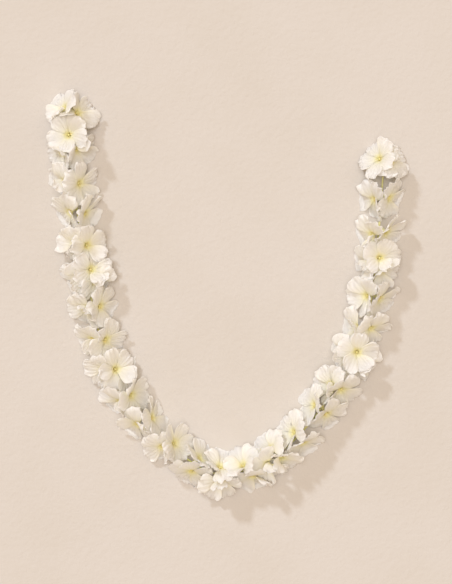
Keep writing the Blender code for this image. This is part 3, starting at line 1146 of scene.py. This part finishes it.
    def _crossings(self, points: Array, greens: BVHTree) -> Array:
        """Finds the faces that cross another petal, a funnel or the stem.

        Args:
            points: Every petal's rows of points.
            greens: The stem and its cups.

        Returns:
            1 at each corner of such a face and 0 elsewhere, in rows and columns.
        """
        outer_faces = self.faces[self.first_face :]
        corners = [petal.reshape(-1, 3).tolist() for petal in points]
        whole = [BVHTree.FromPolygons(petal, self.faces) for petal in corners]
        outer = [BVHTree.FromPolygons(petal, outer_faces) for petal in corners]
        low, high = points.min(axis=(1, 2)), points.max(axis=(1, 2))
        near = np.all((low[:, None] < high[None]) & (high[:, None] > low[None]), axis=-1)
        hits = np.zeros((len(points), len(self.faces)))
        for a, b in zip(*np.nonzero(np.triu(near, 1))):
            siblings = a // self.form.petals == b // self.form.petals
            trees, first = (outer, self.first_face) if siblings else (whole, 0)
            for face_a, face_b in trees[a].overlap(trees[b]):
                hits[a, first + face_a] = hits[b, first + face_b] = 1.0
        for a, tree in enumerate(outer):
            for face, _ in tree.overlap(greens):
                hits[a, self.first_face + face] = 1.0
        marks = np.zeros(points.shape[:3])
        hits = hits.reshape(len(points), -1, self.columns)
        for rows, columns in itertools.product((slice(0, -1), slice(1, None)), repeat=2):
            marks[:, rows, columns] = np.maximum(marks[:, rows, columns], hits)
        return marks

    def _settle(self, plain: Array, fine: Array, greens: BVHTree) -> Array:
        """Draws petals back towards their solids' form where they cross, and from there outwards.

        Args:
            plain: Every petal's rows of points in its solid's form.
            fine: The same in its fine form.
            greens: The stem and its cups.

        Returns:
            The settled points.
        """
        share = np.ones(fine.shape[:3])
        for turn in range(self.settlings):
            marks = self._crossings(plain + share[..., None] * (fine - plain), greens)
            LOG.info("settling %d: %d corners cross, share %.3f", turn, marks.sum(), share.mean())
            if not marks.any():
                break
            for _ in range(self.mark_spreadings):
                padded = np.pad(marks, ((0, 0), (1, 1), (1, 1)), mode="edge")
                beside = padded[:, 1:-1, 2:] + padded[:, 1:-1, :-2]
                along = padded[:, 2:, 1:-1] + padded[:, :-2, 1:-1]
                marks = np.maximum(marks, self.mark_spread * np.maximum(beside, along) / 2)
            share *= 1 - self.yielding * np.maximum.accumulate(marks, axis=1)
        return plain + share[..., None] * (fine - plain)

    def make(self, blossoms: list[Blossom], greens: BVHTree) -> list[Piece]:
        """Shapes all the corollas together, so that their petals keep clear of each other, and dresses them.

        Args:
            blossoms: The blossoms, in the order of their nodes.
            greens: The stem and its cups.

        Returns:
            The pieces.
        """
        grids = [self._grids(number, blossom) for number, blossom in enumerate(blossoms, 1)]
        plain, fine = (np.concatenate(group) for group in zip(*grids))
        settled = self._settle(plain, fine, greens).reshape(len(blossoms), -1, 3)
        pieces = [self._piece(number, points) for number, points in enumerate(settled, 1)]
        bpy.data.objects.remove(self.blank, do_unlink=True)
        return pieces

    def _piece(self, number: int, rows: Array) -> Piece:
        """Makes one corolla from a copy of the blank.

        Args:
            number: The number of its node.
            rows: Its points, row by row.

        Returns:
            The piece.
        """
        points = np.zeros_like(rows)
        points[self.order] = rows
        mesh = self.blank.data.copy()
        write_points(mesh, points)
        piece = placed(f"corolla_{number:02d}", mesh)
        self._map(mesh)
        select_only(piece)
        with edit_mode():
            bpy.ops.mesh.select_all(action="SELECT")
            bpy.ops.mesh.remove_doubles(threshold=self.weld)
        apply_modifier(piece, "SOLIDIFY", thickness=self.sheet, offset=0.0)
        bpy.ops.object.shade_smooth()
        return dressed(piece, self.material, f"bloom_{number:02d}", Slot.PETAL)

    def _map(self, mesh: Mesh) -> None:
        """Gives a corolla its own map, across from 0 to 1 and along from the mouth.

        Args:
            mesh: The corolla's mesh, its corners still in the blank's order.
        """
        while mesh.uv_layers:
            mesh.uv_layers.remove(mesh.uv_layers[0])
        layer = mesh.uv_layers.new(name=PETAL_MAP)
        places = np.zeros((len(mesh.vertices), 2))
        places[self.order] = np.stack([(self.u.ravel() + 1) / 2, self.v.ravel()], -1)
        corners = np.zeros(len(mesh.loops), int)
        mesh.loops.foreach_get("vertex_index", corners)
        layer.data.foreach_set("uv", places[corners].ravel())


@dataclass
class Greenery:
    """The fine stem with a calyx cup at the foot of every blossom."""

    route: Route
    material: Material
    radius: float = 0.0012
    sides: int = 4
    step: float = 0.0035
    swelling: float = 0.22
    swelling_spacing: float = 0.0420
    swelling_sharpness: int = 6
    waver: float = 0.05
    waver_rate: float = 700.0
    sepals: int = 5
    wall: float = 0.00030
    profile: tuple[Pair, ...] = (
        (0.00085, -0.0043), (0.00080, -0.0032), (0.00095, -0.0022), (0.00150, -0.0014),
        (0.00215, -0.0008), (0.00245, 0.0001), (0.00270, 0.0009),
    )
    sepal_tip: Pair = (0.00335, 0.0032)

    def _tube(self) -> Piece:
        """Models the bare stem, with a slight swelling about as often as a pair of blossoms.

        Returns:
            The object.
        """
        select_only()
        bpy.ops.curve.primitive_nurbs_path_add()
        line = bpy.context.object.data
        line.splines.clear()
        count = round(self.route.length / self.step)
        spline = line.splines.new("POLY")
        spline.points.add(count)
        for k, point in enumerate(spline.points):
            distance = self.route.length * k / count
            centre, _ = self.route.at(distance)
            near = 0.5 + 0.5 * math.cos(math.tau * distance / self.swelling_spacing)
            swell = self.swelling * near**self.swelling_sharpness
            point.co = (*centre, 1.0)
            point.radius = 1 + swell + self.waver * math.sin(distance * self.waver_rate)
        line.dimensions = "3D"
        line.bevel_depth = self.radius
        line.bevel_resolution = self.sides
        line.use_fill_caps = True
        bpy.ops.object.convert(target="MESH")
        return bpy.context.object

    def _cup(self) -> Piece:
        """Models one calyx cup at the origin, with five pointed sepals round the foot of a funnel.

        Returns:
            The object.
        """
        cup = raised(self.profile, 2 * self.sepals)
        with edit_mode():
            bpy.ops.mesh.delete(type="ONLY_FACE")
        # Every second corner of the rim is drawn out into the point of a sepal.
        points = read_points(cup.data)
        radius, height = self.sepal_tip
        for index in np.flatnonzero(abs(points[:, 2] - self.profile[-1][1]) < SAME_PLACE):
            angle = math.atan2(points[index, 1], points[index, 0])
            if round(angle / (math.pi / self.sepals)) % 2 == 0:
                points[index] = (radius * math.cos(angle), radius * math.sin(angle), height)
        write_points(cup.data, points)
        apply_modifier(cup, "SOLIDIFY", thickness=self.wall, offset=0.0)
        return cup

    def make(self, blossoms: list[Blossom]) -> Piece:
        """Makes the stem with its cups as one piece.

        Args:
            blossoms: The blossoms that it carries.

        Returns:
            The piece.
        """
        cups = mesh_copies(self._cup(), [blossom.placing for blossom in blossoms], "cup")
        piece = joined([self._tube(), *cups], "stem_and_calyces")
        bpy.ops.object.shade_smooth_by_angle(angle=SMOOTH_BELOW)
        return dressed(piece, self.material, STEM_NODE, Slot.STEM)


@dataclass
class Centres:
    """The pistil and the five stamens in the throat of every blossom."""

    pistil_material: Material
    stamen_material: Material
    stamens: int = 5
    filament_corners: int = 5
    filament_radius: float = 0.00016
    stamen_foot: Pair = (0.0011, 0.0010)
    stamen_top: Pair = (0.00255, 0.0092)
    stamen_turn: Limits = (-0.25, 0.25)
    stamen_stretch: Limits = (0.86, 1.08)
    anther: Triple = (0.00072, 0.00072, 0.00125)
    anther_tilt: float = math.radians(35)
    style_corners: int = 8
    style: tuple[Pair, ...] = ((0.00070, -0.0005), (0.00062, 0.0020), (0.00052, 0.0050), (0.00050, 0.0084))
    stigma: Triple = (0.00150, 0.00150, 0.00105)
    seed: int = 11

    def _stamen(self) -> Piece:
        """Models one stamen that leans outwards along +X, with its anther at the top.

        Returns:
            The object.
        """
        foot = Vector((self.stamen_foot[0], 0, self.stamen_foot[1]))
        top = Vector((self.stamen_top[0], 0, self.stamen_top[1]))
        lean = (top - foot).to_track_quat("Z", "Y").to_matrix().to_4x4()
        select_only()
        bpy.ops.mesh.primitive_cylinder_add(
            vertices=self.filament_corners, radius=self.filament_radius, depth=(top - foot).length,
            end_fill_type="TRIFAN",
        )
        filament = bpy.context.object
        filament.data.transform(Matrix.Translation((foot + top) / 2) @ lean)
        anther = bead(segments=6, rings=4, size=self.anther)
        anther.data.transform(Matrix.Translation(top) @ lean @ Matrix.Rotation(self.anther_tilt, 4, "Y"))
        return joined([filament, anther], "stamen")

    def _pistil(self) -> Piece:
        """Models one pistil: a tapered style and a rounded stigma.

        Returns:
            The object.
        """
        style = raised(self.style, self.style_corners)
        with edit_mode():
            bpy.ops.mesh.select_all(action="SELECT")
            bpy.ops.mesh.normals_make_consistent(inside=False)
        stigma = bead(segments=10, rings=7, size=self.stigma, height=self.style[-1][1])
        return joined([style, stigma], "pistil")

    def make(self, blossoms: list[Blossom]) -> list[Piece]:
        """Makes all the pistils as one piece and all the stamens as another.

        Args:
            blossoms: The blossoms that they stand in.

        Returns:
            The two pieces.
        """
        draw = random.Random(self.seed)
        places = [blossom.placing for blossom in blossoms]
        turns = []
        for place, k in itertools.product(places, range(self.stamens)):
            angle = math.tau * (k + 0.5) / self.stamens + draw.uniform(*self.stamen_turn)
            stretch = Matrix.Diagonal((1.0, 1.0, draw.uniform(*self.stamen_stretch), 1.0))
            turns.append(place @ Matrix.Rotation(angle, 4, "Z") @ stretch)
        stamens = joined(mesh_copies(self._stamen(), turns, "stamen"), "stamens")
        pistils = joined(mesh_copies(self._pistil(), places, "pistil"), "pistils")
        for piece, material in ((pistils, self.pistil_material), (stamens, self.stamen_material)):
            select_only(piece)
            bpy.ops.object.shade_smooth_by_angle(angle=SMOOTH_BELOW)
            dressed(piece, material, STEM_NODE, Slot.STEM)
        return [pistils, stamens]


@dataclass(frozen=True)
class Lamp:
    """One far lamp: the direction that it shines from, its strength, its width and its colour."""

    name: str
    towards: Triple
    strength: float
    angle: float
    colour: Triple

    def hang(self) -> None:
        """Adds the lamp to the scene."""
        light = bpy.data.lights.new(self.name, "SUN")
        light.energy = self.strength
        light.angle = self.angle
        light.color = self.colour
        lamp = placed(self.name, light)
        lamp.rotation_euler = Vector(self.towards).to_track_quat("Z", "Y").to_euler()


@dataclass(frozen=True)
class Studio:
    """The floor, the lights and the camera that looks straight down."""

    metres_per_pixel: float = 0.00135
    photo_size: tuple[int, int] = (452, 584)
    origin_pixel: Pair = (226.5, 294.0)
    camera_height: float = 2.4
    focus_height: float = 0.025
    lens: float = 85.0
    lamps: tuple[Lamp, ...] = (
        Lamp("key", (-0.80, 1.10, 1.0), 1.29, math.radians(5), (0.84, 0.91, 1.0)),
        Lamp("fill", (-0.04, 0.06, 1.0), 1.55, math.radians(30), (1.0, 0.97, 0.95)),
    )
    sky_colour: Colour = (1.0, 0.70, 0.42, 1.0)
    sky_strength: float = 0.475
    display_gamma: float = 1.2
    floor_size: float = 16.0

    def make_floor(self, material: Material) -> None:
        """Lays the floor under the garland.

        Args:
            material: The floor's material.
        """
        select_only()
        bpy.ops.mesh.primitive_plane_add(size=self.floor_size)
        floor = bpy.context.object
        floor.name = "floor"
        floor.data.materials.append(material)
        floor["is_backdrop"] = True

    def make_lights(self) -> None:
        """Sets a key light at the upper left, a wide fill above, a warm sky and the display's gamma."""
        for lamp in self.lamps:
            lamp.hang()
        world = bpy.data.worlds.new("sky")
        world.use_nodes = True
        sky = world.node_tree.nodes["Background"]
        sky.inputs["Color"].default_value = self.sky_colour
        sky.inputs["Strength"].default_value = self.sky_strength
        bpy.context.scene.world = world
        bpy.context.scene.view_settings.view_transform = "Standard"
        bpy.context.scene.view_settings.gamma = self.display_gamma

    def make_camera(self) -> None:
        """Hangs the camera over the middle of the photograph's frame."""
        data = bpy.data.cameras.new("camera")
        width, height = self.photo_size
        distance = self.camera_height - self.focus_height
        data.lens = self.lens
        data.sensor_fit = "AUTO"
        data.sensor_width = self.lens * height * self.metres_per_pixel / distance
        camera = placed("camera", data)
        x = (width / 2 - self.origin_pixel[0]) * self.metres_per_pixel
        y = (self.origin_pixel[1] - height / 2) * self.metres_per_pixel
        camera.location = (x, y, self.camera_height)
        bpy.context.scene.camera = camera


def count_triangles(piece: Piece) -> int:
    """How many triangles a piece has."""
    return sum(len(face.vertices) - 2 for face in piece.data.polygons)


def write_sizes() -> None:
    """Gathers the solids' box and the dressed garland's box as plain lists, and keeps them nowhere."""
    boxes = {"cad": CAD_BOX, "visual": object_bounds()}
    {name: [list(corner) for corner in box] for name, box in boxes.items()}


def main() -> None:
    """Builds the stage and every piece of the garland, and reports each piece."""
    logging.basicConfig(level=logging.INFO, format="%(name)s: %(message)s")
    studio = Studio()
    studio.make_camera()
    studio.make_lights()
    studio.make_floor(FloorFinish().material())
    route = Route()
    blossoms = GrowthRule(route).grow_all()
    form = PetalForm()
    stem = Greenery(route, StemFinish().material()).make(blossoms)
    corolla = Corolla(form, BendFinder(form), RuffleRule(form), PetalFinish().material())
    pieces = corolla.make(blossoms, tree_of(stem))
    pieces += [stem, *Centres(PistilFinish().material(), PollenFinish().material()).make(blossoms)]
    for piece in pieces:
        LOG.info("%s: %d triangles", piece.name, count_triangles(piece))
    LOG.info("all pieces: %d triangles", sum(count_triangles(piece) for piece in pieces))
    write_sizes()


if __name__ == "__main__":
    main()
